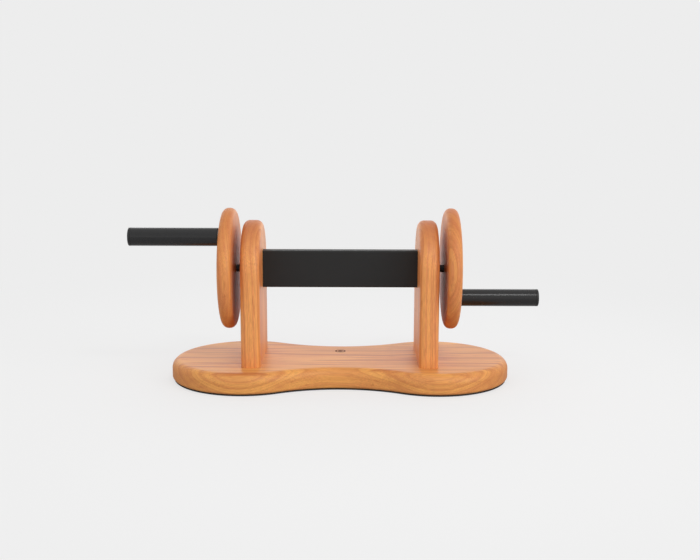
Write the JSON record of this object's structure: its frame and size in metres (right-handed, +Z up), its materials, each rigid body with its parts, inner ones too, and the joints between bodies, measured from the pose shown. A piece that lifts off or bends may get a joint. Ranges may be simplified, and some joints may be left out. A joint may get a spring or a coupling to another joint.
{
  "type": "tabletop crank exerciser",
  "caption": "Hand or foot crank exerciser: a wooden peanut-shaped base, uprights holding a braked axle in a black crossbar, and wooden crank discs with black grips.",
  "frame": {"origin": "on the floor under the middle of the base, straight below the middle of the axle", "axes": "+X along the axle towards the grip that stands lower and further back, +Y to the back, +Z up"},
  "size_m": [0.646, 0.237, 0.2725],
  "materials": {
    "base_wood": "oiled, satin",
    "upright_wood": "oiled, satin",
    "disc_wood": "oiled, satin",
    "dowel_wood": "plain, dry",
    "mat_rubber": "matte, fine cork-like grain",
    "housing_black": "satin black powder coat",
    "grip_black": "black anodised, satin",
    "cap_black": "satin black",
    "hub_black": "satin black",
    "screw_black": "black oxide",
    "axle_black": "black oxide, satin",
    "spindle_steel": "turned",
    "zinc_steel": "bright zinc",
    "bearing_steel": "ground",
    "cage_brass": "pressed",
    "seal_rubber": "moulded",
    "end_block_aluminium": "machined",
    "brake_block_plastic": "moulded",
    "brake_felt": "pressed wool felt",
    "bush_plastic": "turned acetal"
  },
  "bodies": {
    "base": {"base_board": "base_wood", "left_upright": "upright_wood", "right_upright": "upright_wood", "locating_dowels": "dowel_wood", "anti_slip_mat": "mat_rubber", "housing_tube": "housing_black", "housing_lock_screws": "screw_black", "upright_bolts": "zinc_steel", "upright_bolt_washers": "zinc_steel", "upright_inserts": "zinc_steel", "end_block_screws": "zinc_steel", "brake_adjusters": "zinc_steel", "brake_insert_nuts": "zinc_steel", "brake_disc_springs": "zinc_steel", "left_bearing_outer": "bearing_steel", "right_bearing_outer": "bearing_steel", "left_bearing_balls": "bearing_steel", "right_bearing_balls": "bearing_steel", "left_bearing_cage": "cage_brass", "right_bearing_cage": "cage_brass", "bearing_seals": "seal_rubber", "left_end_block": "end_block_aluminium", "right_end_block": "end_block_aluminium", "upper_brake_block": "brake_block_plastic", "lower_brake_block": "brake_block_plastic", "upper_felt_pad": "brake_felt", "lower_felt_pad": "brake_felt"},
    "crank": {"axle": "axle_black", "left_disc": "disc_wood", "right_disc": "disc_wood", "left_hub": "hub_black", "right_hub": "hub_black", "hub_screws": "screw_black", "axle_keys": "zinc_steel", "axle_end_bolts": "zinc_steel", "axle_end_washers": "zinc_steel", "left_hub_cap": "cap_black", "right_hub_cap": "cap_black", "retaining_rings": "screw_black", "left_bearing_inner": "bearing_steel", "right_bearing_inner": "bearing_steel", "left_spindle": "spindle_steel", "right_spindle": "spindle_steel", "spindle_inserts": "zinc_steel", "retaining_screws": "zinc_steel", "retaining_washers": "zinc_steel"},
    "left_grip": {"left_grip_tube": "grip_black", "left_grip_inner_bush": "bush_plastic", "left_grip_outer_bush": "bush_plastic", "left_grip_end_cap": "cap_black"},
    "right_grip": {"right_grip_tube": "grip_black", "right_grip_inner_bush": "bush_plastic", "right_grip_outer_bush": "bush_plastic", "right_grip_end_cap": "cap_black"}
  },
  "joints": [
    {"name": "crank_spin", "type": "hinge", "parent": "base", "child": "crank", "pos_m": [0, 0, 0.1775], "axis": [1, 0, 0], "continuous": true},
    {"name": "left_grip_spin", "type": "hinge", "parent": "crank", "child": "left_grip", "pos_m": [-0.25, -0.04731, 0.23309], "axis": [1, 0, 0], "continuous": true},
    {"name": "right_grip_spin", "type": "hinge", "parent": "crank", "child": "right_grip", "pos_m": [0.25, 0.04731, 0.12191], "axis": [1, 0, 0], "continuous": true}
  ]
}
